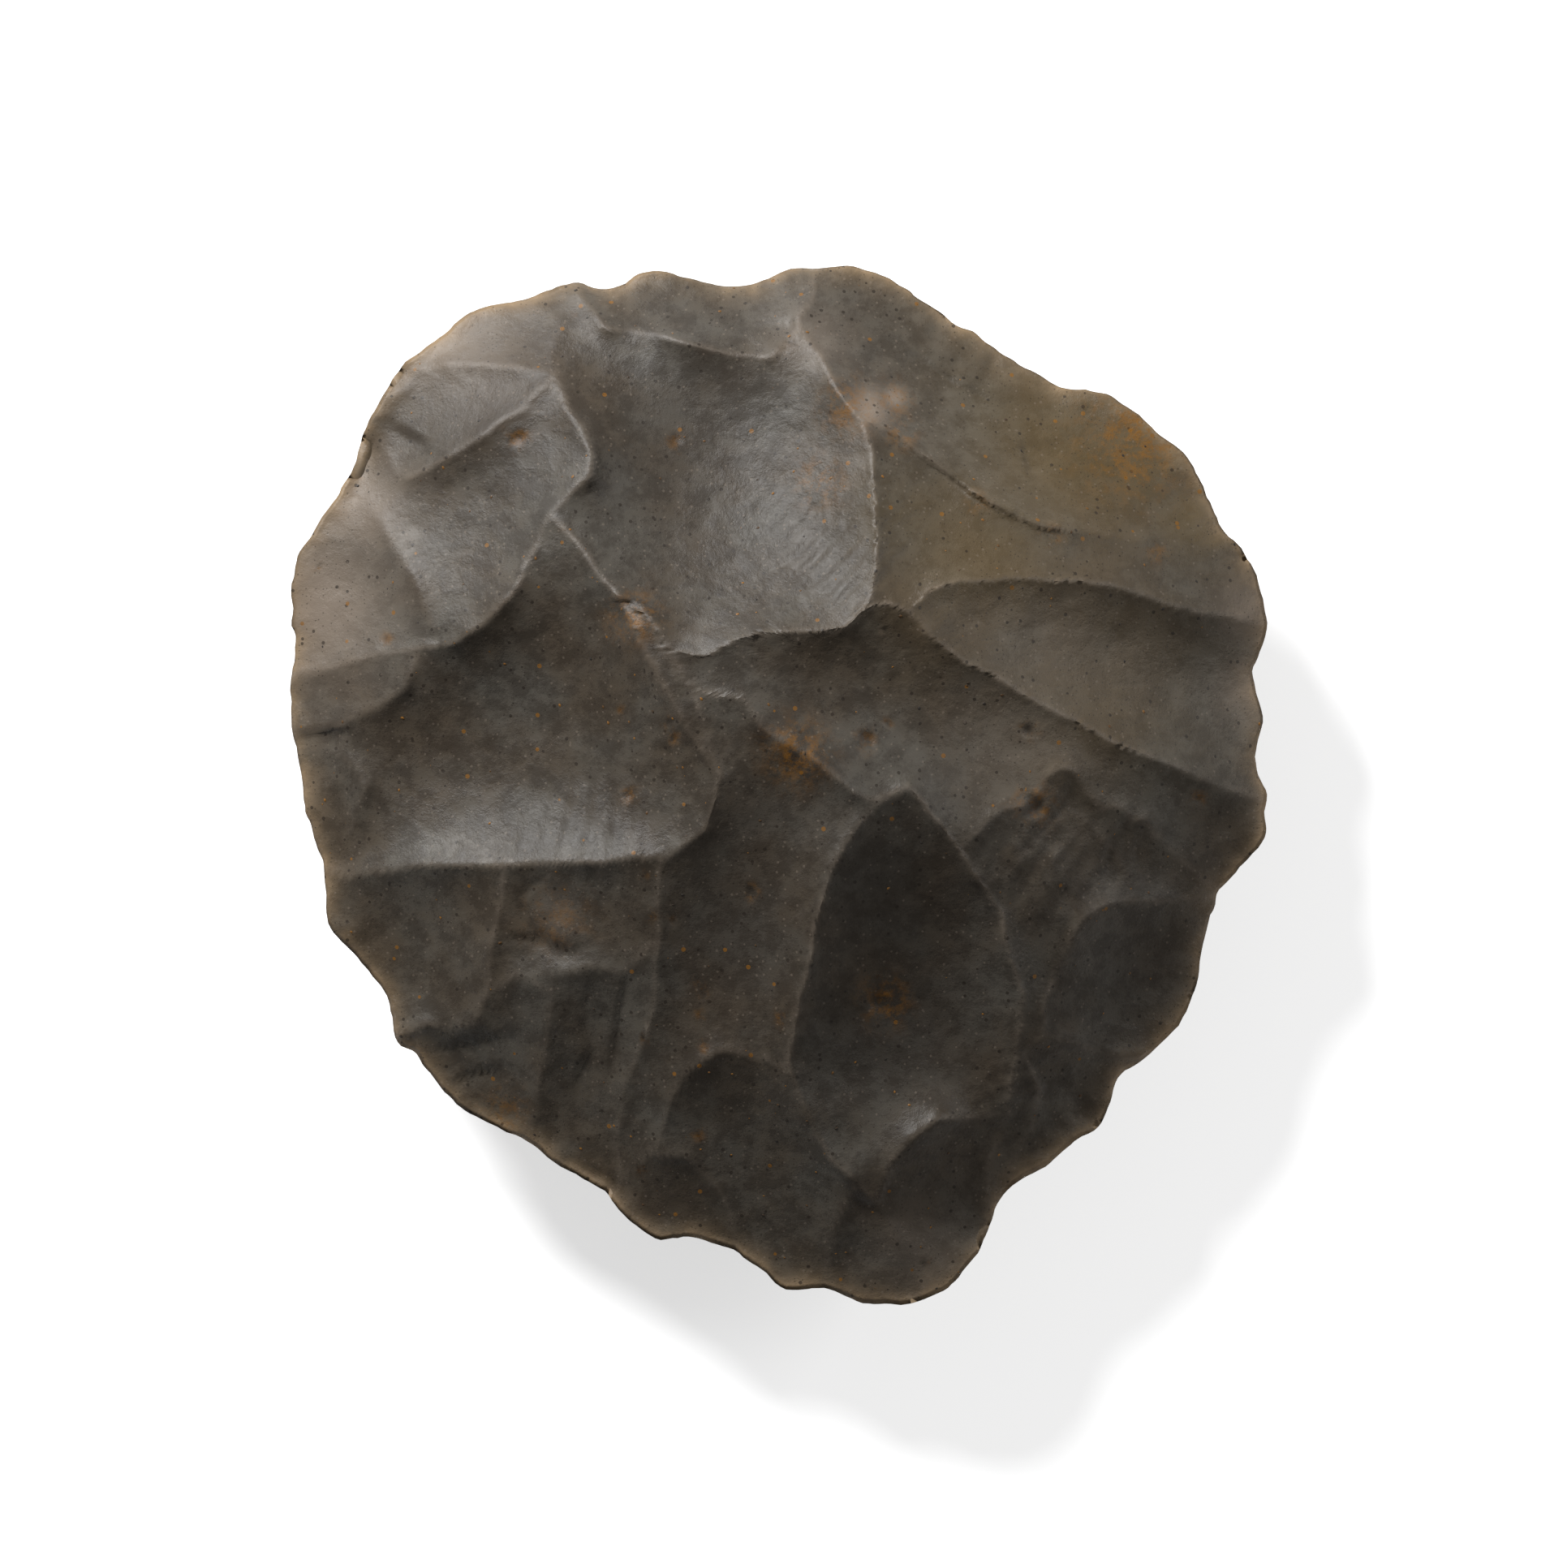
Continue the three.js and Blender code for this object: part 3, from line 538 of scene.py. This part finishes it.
def step_mask(x, y, line, width):
    """One just left of a line and fading away from it, nothing on its right."""
    points = walk([place(*p) for p in line], STEP_PATH_STEP)
    points = wobble(points, 2 * MM, 1000 * line[0][0] % 97)
    run = np.gradient(points, axis=0)
    run /= np.hypot(run[:, 0], run[:, 1])[:, None]
    low, high = points.min(0) - 3 * width, points.max(0) + 3 * width
    near = (x > low[0]) & (x < high[0]) & (y > low[1]) & (y < high[1])
    away = np.stack([x[near], y[near]], 1)[:, None] - points[None]
    far = np.hypot(away[..., 0], away[..., 1])
    best = far.argmin(1)
    rows = np.arange(len(best))
    far, away, run = far[rows, best], away[rows, best], run[best]
    side = run[:, 0] * away[:, 1] - run[:, 1] * away[:, 0]
    along = np.abs(run[:, 0] * away[:, 0] + run[:, 1] * away[:, 1])
    ends = np.sin(math.pi * np.clip(best / (len(points) - 1), 0.02, 0.98)) ** 0.6
    rise = np.clip(side / (0.25 * MM), 0, 1)
    mask = np.zeros(len(x))
    mask[near] = rise * np.exp(-far / width) * np.exp(-((along / width) ** 2)) * ends
    return mask


def detail_upper(x, y, far, sharp, inside):
    """What is added to the upper face's height, and the masks of its rusty places and pits."""
    add = np.zeros(len(x))
    for start, middle, radius, wave, height in RIPPLES:
        sx, sy = place(*start)
        mx, my = place(*middle)
        away = np.hypot(x - sx, y - sy) + fractal(x, y, 9 * MM, 71) * 0.5 * MM
        soft = np.exp(-(((x - mx) ** 2 + (y - my) ** 2) / (radius * PIXEL) ** 2))
        add += height * MM * soft * np.sin(2 * math.pi * away / (wave * MM))
    for height, size, seed, octaves in UPPER_ROUGHNESS:
        add += height * fractal(x, y, size, seed, octaves)
    add += CRUMBLE_HEIGHT * fractal(x, y, CRUMBLE_SIZE, 57, 3) * np.exp(-inside / CRUMBLE_SIZE)
    add += RIDGE_LIFT * np.exp(-far / RIDGE_LIFT_WIDTH) * sharp
    for depth, width, line in STEPS:
        add -= depth * MM * step_mask(x, y, line, width * MM)
    rust, pits = np.zeros(len(x)), np.zeros(len(x))
    for px, py, radius, rusty in PITS:
        sx, sy = place(px, py)
        size = radius * PIXEL
        near = np.hypot(x - sx, y - sy) * (1 + 0.25 * fractal(x, y, 0.8 * MM, 91, 2)) / size
        dent = np.clip(1 - near**2, 0, 1)
        add -= PIT_DEPTH * size * dent
        rust = np.maximum(rust, rusty * np.exp(-(near**2) * 0.9))
        pits = np.maximum(pits, dent)
    return add * np.clip(inside / EDGE_FADE, 0, 1), rust, pits


def rings(centre, edge, count):
    """Places in plan from a centre out on rings, the edge left out."""
    shares = np.linspace(0, 1, count + 1)[1:-1]
    return np.vstack([centre[None], (centre + shares[:, None, None] * (edge - centre)).reshape(-1, 2)])


def upper_skin(stone):
    """The upper face's points and masks."""
    film, grid = stone.upper_film()
    plan = rings(np.array(CREST), stone.edge, UPPER_RINGS)
    share, limit = stone.share(CREST, *plan.T)
    inside = (1 - share) * limit
    far, sharp, on_ridge = nearest_ridge(stone.upper_ridges, *plan.T)
    onto = (far < SNAP) & (sharp > SNAP_SHARPNESS) & (inside > SNAP_INSIDE)
    plan[onto] = on_ridge[onto]
    x, y = plan.T
    extra, rust, pits = detail_upper(x, y, far, sharp, inside)
    height = np.minimum(film.read(grid, x, y) + extra, HIGH.z)
    return np.column_stack([plan, height]), {
        "ridge": np.exp(-((far / RIDGE_WIDTH) ** 2)) * sharp,
        "thin": np.exp(-inside / THIN_WIDTH),
        "rust": np.maximum(rust, patches(RUST_STAINS, x, y)),
        "olive": patches(OLIVE_STAINS, x, y),
        # The brown mask: partly the flint's own colour, partly painted shade
        "brown": patches(BROWN_AND_SHADE_PATCHES, x, y),
        # The pale mask: partly the flint's own paler spots, partly painted light
        "pale": patches(PALE_AND_LIT_PATCHES, x, y),
        "pit": pits,
    }


def lower_skin(stone):
    """The hidden face's points and masks. A mask that isn't named here is zero."""
    film, grid = stone.lower_film()
    centre = np.array(REST_CENTRE)
    plan = rings(centre, stone.edge, LOWER_RINGS)
    x, y = plan.T
    share, limit = stone.share(REST_CENTRE, x, y)
    inside = (1 - share) * limit
    far, sharp, _ = nearest_ridge(stone.lower_ridges, x, y)
    off_facet = np.clip((np.hypot(*(plan - centre).T) - REST_RADIUS) / (3 * MM), 0, 1)
    rough, size, seed, octaves = LOWER_ROUGHNESS
    extra = rough * fractal(x, y, size, seed, octaves) * off_facet * np.clip(inside / EDGE_FADE, 0, 1)
    height = np.maximum(film.read(grid, x, y) + extra, 0)
    return np.column_stack([plan, height]), {
        "ridge": np.exp(-((far / LOWER_RIDGE_WIDTH) ** 2)) * sharp,
        "thin": np.exp(-inside / THIN_WIDTH),
        "olive": LOWER_OLIVE,
        "brown": LOWER_BROWN,
    }


def face_fan(first, count, rim, flip):
    """Faces from a middle point to the rim, which runs clockwise seen from above."""
    loops = [[first + 1 + r * STATIONS + i for i in range(STATIONS)] for r in range(count - 1)] + [rim]
    faces = []
    for i in range(STATIONS):
        j = (i + 1) % STATIONS
        faces.append((first, loops[0][i], loops[0][j]))
        faces += [(inner[i], outer[i], outer[j], inner[j]) for inner, outer in zip(loops, loops[1:])]
    return [face[::-1] for face in faces] if flip else faces


def build_stone(body):
    """The whole skin of the stone as one closed mesh."""
    stone = Stone(body)
    upper, upper_masks = upper_skin(stone)
    lower, lower_masks = lower_skin(stone)
    points = np.vstack([upper, np.column_stack([stone.edge, stone.edge_height]), lower])
    rim = [len(upper) + i for i in range(STATIONS)]
    faces = face_fan(0, UPPER_RINGS, rim, True) + face_fan(len(upper) + STATIONS, LOWER_RINGS, rim, False)
    mesh = bpy.data.meshes.new("stone_skin")
    mesh.from_pydata(points.tolist(), [], faces)
    for name, above in upper_masks.items():
        on_rim = np.full(STATIONS, 1.0 if name == "thin" else 0.0)
        below = np.broadcast_to(lower_masks.get(name, 0.0), len(lower))
        layer = mesh.attributes.new(name, "FLOAT", "POINT")
        layer.data.foreach_set("value", np.concatenate([above, on_rim, below]).astype(np.float32))
    mesh.polygons.foreach_set("use_smooth", np.ones(len(mesh.polygons), bool))
    mesh.update()
    return mesh


def node(tree, kind, x, y, **settings):
    """A node at a place in its tree, with its settings."""
    made = tree.nodes.new(kind)
    made.location = (x, y)
    for key, value in settings.items():
        setattr(made, key, value)
    return made


def feed(tree, socket, value):
    """Links a socket to another, or gives it a plain value."""
    if isinstance(value, bpy.types.NodeSocket):
        tree.links.new(value, socket)
    else:
        socket.default_value = value


def mix_colour(tree, x, y, factor, a, b):
    """A colour mix. A mix node keeps its colours at inputs 6 and 7 and at output 2."""
    made = node(tree, "ShaderNodeMix", x, y, data_type="RGBA")
    for socket, value in ((made.inputs[0], factor), (made.inputs[6], a), (made.inputs[7], b)):
        feed(tree, socket, value)
    return made.outputs[2]


def maths(tree, x, y, operation, *values):
    """A maths node's result; each value is a socket or a number."""
    made = node(tree, "ShaderNodeMath", x, y, operation=operation)
    for socket, value in zip(made.inputs, values):
        feed(tree, socket, value)
    return made.outputs[0]


def noise(tree, x, y, scale, detail, rough):
    """Noise over the object's own coordinates."""
    where = node(tree, "ShaderNodeTexCoord", x - 200, y)
    made = node(tree, "ShaderNodeTexNoise", x, y)
    tree.links.new(where.outputs["Object"], made.inputs["Vector"])
    for name, value in (("Scale", scale), ("Detail", detail), ("Roughness", rough)):
        made.inputs[name].default_value = value
    return made.outputs["Fac"]


def stepped_noise(tree, x, y, scale, detail, rough, low, high):
    """Noise put through a smooth step from a low value to a high one."""
    made = node(tree, "ShaderNodeMapRange", x, y, interpolation_type="SMOOTHSTEP")
    made.inputs["From Min"].default_value = low
    made.inputs["From Max"].default_value = high
    tree.links.new(noise(tree, x - 200, y, scale, detail, rough), made.inputs["Value"])
    return made.outputs["Result"]


def new_material(name):
    material = bpy.data.materials.new(name)
    material.use_nodes = True
    return material, material.node_tree, material.node_tree.nodes["Principled BSDF"]


def speckle_group():
    """Fine grains in flint: where they lie, for one grain size."""
    group = bpy.data.node_groups.new("flint_speckle", "ShaderNodeTree")
    for name, way in (("Scale", "INPUT"), ("Size", "INPUT"), ("Mask", "OUTPUT")):
        group.interface.new_socket(name, in_out=way, socket_type="NodeSocketFloat")
    start = node(group, "NodeGroupInput", -800, 0)
    end = node(group, "NodeGroupOutput", 400, 0)
    where = node(group, "ShaderNodeTexCoord", -800, -200)
    cells = node(group, "ShaderNodeTexVoronoi", -500, 0)
    group.links.new(where.outputs["Object"], cells.inputs["Vector"])
    group.links.new(start.outputs["Scale"], cells.inputs["Scale"])
    colour = node(group, "ShaderNodeSeparateColor", -300, -200)
    group.links.new(cells.outputs["Color"], colour.inputs[0])
    chosen = maths(group, -100, -200, "GREATER_THAN", colour.outputs[0], SPECKLED_FROM)
    near = maths(group, -100, 0, "LESS_THAN", cells.outputs["Distance"], start.outputs["Size"])
    group.links.new(maths(group, 100, 0, "MULTIPLY", chosen, near), end.inputs["Mask"])
    return group


def rgb(colour):
    return (*colour, 1.0)


def linear(red, green, blue):
    """A colour given as 0 to 255 screen values, as the linear values that shaders take."""
    return tuple((c / 255 / 12.92) if c / 255 <= 0.04045 else ((c / 255 + 0.055) / 1.055) ** 2.4
                 for c in (red, green, blue))


def flint_material(finish):
    """Waxy grey-brown flint: mottled, speckled, pale on its ridges and where it thins out to the edge; the
    paler edge and the pale patches are partly painted light, the brown patches partly painted shade.
    """
    material, tree, shader = new_material("worked_flint")
    masks = {}
    for k, name in enumerate(("ridge", "thin", "rust", "olive", "brown", "pale", "pit")):
        masks[name] = node(tree, "ShaderNodeAttribute", -2200, -200 * k, attribute_name=name).outputs["Fac"]
    clouds = stepped_noise(tree, -1700, 300, *CLOUDS)
    mottle = stepped_noise(tree, -1700, 100, *MOTTLE)
    worn = maths(tree, -1500, -300, "MULTIPLY_ADD", stepped_noise(tree, -1700, -300, *WEAR), 0.7, 0.3)
    rusting = stepped_noise(tree, -1700, -500, *RUSTING)
    fine = noise(tree, -1900, -700, *FINE_NOISE)
    layers = [
        (mottle, 0.5, finish.dark),
        (masks["olive"], 0.55, finish.olive),
        # Brown patches: partly the flint's own colour and partly painted shade
        (masks["brown"], 0.6, finish.brown),
        # Pale patches: partly the flint's own paler spots and partly painted light
        (masks["pale"], 0.85, finish.pale),
        # Paler where the flint thins to its edge: partly the edge's own colour and partly painted light
        # shining through the thin flint
        (maths(tree, -1300, -300, "MULTIPLY", masks["thin"], worn), 1.0, finish.edge),
        (maths(tree, -1300, -400, "MULTIPLY", masks["ridge"], worn), 0.34, finish.pale),
    ]
    speckle = speckle_group()
    for k, (scale, size, tint, strength) in enumerate(SPECKS):
        specks = node(tree, "ShaderNodeGroup", -1300, -900 - 200 * k, node_tree=speckle)
        specks.inputs["Scale"].default_value = scale
        specks.inputs["Size"].default_value = size
        layers.append((specks.outputs["Mask"], strength, getattr(finish, tint)))
    layers.append((maths(tree, -1300, -500, "MULTIPLY", masks["rust"], rusting), 1.0, finish.rust))
    layers.append((masks["pit"], 0.55, finish.dark))
    colour = mix_colour(tree, -1400, 400, clouds, rgb(finish.ground), rgb(finish.grey))
    for k, (mask, strength, tint) in enumerate(layers):
        amount = maths(tree, -1200 + 80 * k, 200, "MULTIPLY", mask, strength)
        colour = mix_colour(tree, -1200 + 80 * k, 400, amount, colour, rgb(tint))
    tree.links.new(colour, shader.inputs["Base Color"])
    gloss = maths(tree, -600, -100, "MULTIPLY_ADD", fine, 0.22, finish.roughness)
    tree.links.new(gloss, shader.inputs["Roughness"])
    shader.inputs["Specular IOR Level"].default_value = 0.3
    bump = node(tree, "ShaderNodeBump", -300, -400)
    bump.inputs["Strength"].default_value = 0.3
    bump.inputs["Distance"].default_value = 0.12 * MM
    tree.links.new(maths(tree, -500, -400, "ADD", fine, mottle), bump.inputs["Height"])
    tree.links.new(bump.outputs["Normal"], shader.inputs["Normal"])
    return material


def grain_material(finish):
    """Rusty and dark mineral grains set in the stone."""
    material, tree, shader = new_material("mineral_grain")
    tone = stepped_noise(tree, -400, 200, *GRAIN_TONE)
    tree.links.new(mix_colour(tree, -200, 200, tone, rgb(finish.rust), rgb(finish.dark)),
                   shader.inputs["Base Color"])
    shader.inputs["Roughness"].default_value = 0.55
    return material


def grain_tree(material):
    """Small flat grains strewn over the upper face, half sunk into it."""
    tree = bpy.data.node_groups.new("strewn_grains", "GeometryNodeTree")
    tree.interface.new_socket("Geometry", in_out="INPUT", socket_type="NodeSocketGeometry")
    for name in ("Density", "Largest", "Lowest"):
        tree.interface.new_socket(name, in_out="INPUT", socket_type="NodeSocketFloat")
    tree.interface.new_socket("Seed", in_out="INPUT", socket_type="NodeSocketInt")
    tree.interface.new_socket("Geometry", in_out="OUTPUT", socket_type="NodeSocketGeometry")
    link = tree.links.new
    start = node(tree, "NodeGroupInput", -900, 0)
    end = node(tree, "NodeGroupOutput", 900, 0)
    split = node(tree, "ShaderNodeSeparateXYZ", -850, -200)
    link(node(tree, "GeometryNodeInputPosition", -1050, -200).outputs[0], split.inputs[0])
    above = node(tree, "FunctionNodeCompare", -700, -200, operation="GREATER_THAN", data_type="FLOAT")
    link(split.outputs["Z"], above.inputs[0])
    link(start.outputs["Lowest"], above.inputs[1])
    strew = node(tree, "GeometryNodeDistributePointsOnFaces", -600, 0)
    for name, socket in (("Geometry", "Mesh"), ("Density", "Density"), ("Seed", "Seed")):
        link(start.outputs[name], strew.inputs[socket])
    link(above.outputs[0], strew.inputs["Selection"])
    ball = node(tree, "GeometryNodeMeshIcoSphere", -600, -300)
    ball.inputs["Radius"].default_value = 1.0
    ball.inputs["Subdivisions"].default_value = 1
    flat = node(tree, "GeometryNodeTransform", -400, -300)
    flat.inputs["Scale"].default_value = (1.0, 0.7, 0.35)
    link(ball.outputs["Mesh"], flat.inputs["Geometry"])
    # A random number keeps its least and greatest at inputs 2 and 3, and its value at output 1
    size = node(tree, "FunctionNodeRandomValue", -400, -600, data_type="FLOAT")
    size.inputs[2].default_value = 0.25
    size.inputs[3].default_value = 1.0
    link(start.outputs["Seed"], size.inputs["Seed"])
    put = node(tree, "GeometryNodeInstanceOnPoints", -100, 0)
    link(strew.outputs["Points"], put.inputs["Points"])
    link(strew.outputs["Rotation"], put.inputs["Rotation"])
    link(flat.outputs["Geometry"], put.inputs["Instance"])
    link(maths(tree, -200, -600, "MULTIPLY", size.outputs[1], start.outputs["Largest"]), put.inputs["Scale"])
    real = node(tree, "GeometryNodeRealizeInstances", 200, 0)
    link(put.outputs["Instances"], real.inputs["Geometry"])
    coat = node(tree, "GeometryNodeSetMaterial", 500, 0)
    coat.inputs["Material"].default_value = material
    link(real.outputs["Geometry"], coat.inputs["Geometry"])
    link(coat.outputs["Geometry"], end.inputs["Geometry"])
    return tree


def table_material():
    """A white table that shows as plain white to the camera, with the stone's shadow."""
    material, tree, shader = new_material("white_table")
    shader.inputs["Base Color"].default_value = (TABLE_WHITE, TABLE_WHITE, TABLE_WHITE, 1)
    shader.inputs["Roughness"].default_value = 0.9
    shader.inputs["Emission Color"].default_value = (1, 1, 1, 1)
    seen = node(tree, "ShaderNodeLightPath", -600, 0)
    tree.links.new(maths(tree, -300, 0, "MULTIPLY", seen.outputs["Is Camera Ray"], TABLE_GLOW),
                   shader.inputs["Emission Strength"])
    return material


def add_object(name, data):
    made = bpy.data.objects.new(name, data)
    bpy.context.scene.collection.objects.link(made)
    return made


def add_lamp(name, where, size, power):
    """A round soft lamp that looks at the stone."""
    light = bpy.data.lights.new(name, "AREA")
    light.shape = "DISK"
    light.size = size
    light.energy = power
    lamp = add_object(name, light)
    lamp.location = where
    lamp.rotation_euler = (-Vector(where)).to_track_quat("-Z", "Y").to_euler()


class StoneSettings(bpy.types.PropertyGroup):
    """The stone's form"""

    crest_height: bpy.props.FloatProperty(
        name="Crest height", description="Highest ridge above the table", default=HIGH.z - LOW.z,
        unit="LENGTH", precision=4)
    edge_height: bpy.props.FloatProperty(
        name="Edge height", description="Mean height of the sharp edge above the table", default=14.2 * MM,
        unit="LENGTH", precision=4)
    fullness: bpy.props.FloatProperty(
        name="Fullness", description="How full the upper face is between its crest and its edge",
        default=1.9)
    scar_dish: bpy.props.FloatProperty(
        name="Scar dish", description="How strongly each scar is hollowed, as curvature per metre",
        default=64.0)
    lower_dish: bpy.props.FloatProperty(
        name="Lower scar dish", description="The same for the hidden face", default=22.0)
    lower_scars: bpy.props.IntProperty(
        name="Lower scars", description="Flake scars round the hidden face", default=15)


class FinishSettings(bpy.types.PropertyGroup):
    """Its colours, gloss and grains"""

    ground: bpy.props.FloatVectorProperty(
        name="Ground", description="Main colour of the flint", subtype="COLOR", default=linear(72, 63, 52))
    grey: bpy.props.FloatVectorProperty(
        name="Grey", description="Cooler grey of its clouds", subtype="COLOR", default=linear(80, 76, 69))
    dark: bpy.props.FloatVectorProperty(
        name="Dark", description="Dark mottling and specks", subtype="COLOR", default=linear(34, 27, 20))
    olive: bpy.props.FloatVectorProperty(
        name="Olive", description="Greenish stain", subtype="COLOR", default=linear(98, 80, 46))
    # Also the colour of the painted shade in the brown patches
    brown: bpy.props.FloatVectorProperty(
        name="Brown", description="Darker brown areas", subtype="COLOR", default=linear(38, 30, 22))
    # Also the colour of the painted light in the pale patches
    pale: bpy.props.FloatVectorProperty(
        name="Pale", description="Ridges and bleached patches", subtype="COLOR",
        default=linear(134, 121, 108))
    # Partly the thin edge's own colour and partly painted light shining through the thin flint
    edge: bpy.props.FloatVectorProperty(
        name="Edge", description="Where the flint thins out to its edge", subtype="COLOR",
        default=linear(150, 127, 98))
    rust: bpy.props.FloatVectorProperty(
        name="Rust", description="Iron stain and grains", subtype="COLOR", default=linear(124, 82, 20))
    roughness: bpy.props.FloatProperty(
        name="Roughness", description="Roughness of the waxy surface", default=0.36, min=0.0, max=1.0)
    grain_density: bpy.props.FloatProperty(
        name="Grain density", description="Mineral grains on each square metre", default=30000.0)
    grain_size: bpy.props.FloatProperty(
        name="Grain size", description="Radius of the largest grain", default=0.22 * MM, unit="LENGTH",
        precision=5)


class StageSettings(bpy.types.PropertyGroup):
    """The camera and the lights"""

    camera_height: bpy.props.FloatProperty(
        name="Camera height", description="Camera above the table", default=1.6, unit="LENGTH")
    key_power: bpy.props.FloatProperty(
        name="Key light", description="Power of the soft lamp above the top of the picture, in watts",
        default=11.5)
    fill_power: bpy.props.FloatProperty(
        name="Fill light", description="Power of the weaker lamp at the right, in watts", default=2.4)
    world_light: bpy.props.FloatProperty(
        name="Room light", description="Strength of the light from all round", default=0.12)


class HANDAXE_OT_stone(bpy.types.Operator):
    """Builds the worked stone over the frame's solid"""

    bl_idname = "handaxe.stone"
    bl_label = "Worked stone"

    def execute(self, context):
        scene = context.scene
        mesh = build_stone(scene.handaxe_stone)
        mesh.materials.append(flint_material(scene.handaxe_finish))
        stone = add_object("worked_stone", mesh)
        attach(stone, BODY)
        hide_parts(NODE)
        return {"FINISHED"}


class HANDAXE_OT_grains(bpy.types.Operator):
    """Strews mineral grains over the upper face"""

    bl_idname = "handaxe.grains"
    bl_label = "Mineral grains"

    def execute(self, context):
        finish = context.scene.handaxe_finish
        carrier = add_object("grain_carrier", bpy.data.objects["worked_stone"].data.copy())
        modifier = carrier.modifiers.new("grains", "NODES")
        tree = grain_tree(grain_material(finish))
        modifier.node_group = tree
        values = {"Density": finish.grain_density, "Largest": finish.grain_size, "Seed": 4,
                  "Lowest": context.scene.handaxe_stone.edge_height}
        for item in tree.interface.items_tree:
            if item.in_out == "INPUT" and item.name in values:
                modifier[item.identifier] = values[item.name]
        graph = context.evaluated_depsgraph_get()
        strewn = bpy.data.meshes.new_from_object(carrier.evaluated_get(graph))
        bpy.data.objects.remove(carrier)
        if not strewn.polygons:
            raise RuntimeError("no grains were strewn")
        grains = add_object("mineral_grains", strewn)
        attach(grains, BODY)
        return {"FINISHED"}


class HANDAXE_OT_stage(bpy.types.Operator):
    """Adds the table, the lamps and the camera"""

    bl_idname = "handaxe.stage"
    bl_label = "Table, lamps and camera"

    def execute(self, context):
        scene = context.scene
        stage = scene.handaxe_stage
        bpy.ops.mesh.primitive_plane_add(size=TABLE_SIZE, location=(0, 0, LOW.z - TABLE_GAP))
        floor = context.active_object
        floor.name = "table"
        floor.data.materials.append(table_material())
        add_lamp("key", KEY_PLACE, KEY_SIZE, stage.key_power)
        add_lamp("fill", FILL_PLACE, FILL_SIZE, stage.fill_power)
        world = bpy.data.worlds.new("room")
        world.use_nodes = True
        world.node_tree.nodes["Background"].inputs["Color"].default_value = (1, 1, 1, 1)
        world.node_tree.nodes["Background"].inputs["Strength"].default_value = stage.world_light
        scene.world = world
        camera = bpy.data.cameras.new("camera")
        view = add_object("camera", camera)
        middle = place(PHOTO_WIDTH / 2, PHOTO_HEIGHT / 2)
        view.location = (middle[0], middle[1], stage.camera_height)
        camera.sensor_fit = "HORIZONTAL"
        seen = PHOTO_WIDTH * PIXEL
        camera.lens = camera.sensor_width * (stage.camera_height - SCALE_HEIGHT) / seen
        camera.clip_start = 0.05
        scene.camera = view
        scene.view_settings.view_transform = "Standard"
        return {"FINISHED"}


class HANDAXE_PT_panel(bpy.types.Panel):
    """The steps of the hand axe"""

    bl_idname = "HANDAXE_PT_panel"
    bl_label = "Hand Axe"
    bl_space_type = "VIEW_3D"
    bl_region_type = "UI"
    bl_category = "Hand Axe"

    def draw(self, context):
        scene = context.scene
        for group in (scene.handaxe_stone, scene.handaxe_finish, scene.handaxe_stage):
            box = self.layout.box()
            for name in group.bl_rna.properties.keys():
                if name not in ("rna_type", "name"):
                    box.prop(group, name)
        for step in OPERATORS:
            self.layout.operator(step.bl_idname)


OPERATORS = (HANDAXE_OT_stone, HANDAXE_OT_grains, HANDAXE_OT_stage)
CLASSES = (StoneSettings, FinishSettings, StageSettings, *OPERATORS, HANDAXE_PT_panel)


def register():
    for kind in CLASSES:
        bpy.utils.register_class(kind)
    bpy.types.Scene.handaxe_stone = bpy.props.PointerProperty(type=StoneSettings)
    bpy.types.Scene.handaxe_finish = bpy.props.PointerProperty(type=FinishSettings)
    bpy.types.Scene.handaxe_stage = bpy.props.PointerProperty(type=StageSettings)


def unregister():
    for name in ("handaxe_stone", "handaxe_finish", "handaxe_stage"):
        delattr(bpy.types.Scene, name)
    for kind in reversed(CLASSES):
        bpy.utils.unregister_class(kind)


def main():
    register()
    bpy.ops.handaxe.stone()
    bpy.ops.handaxe.grains()
    bpy.ops.handaxe.stage()


if __name__ == "__main__":
    main()
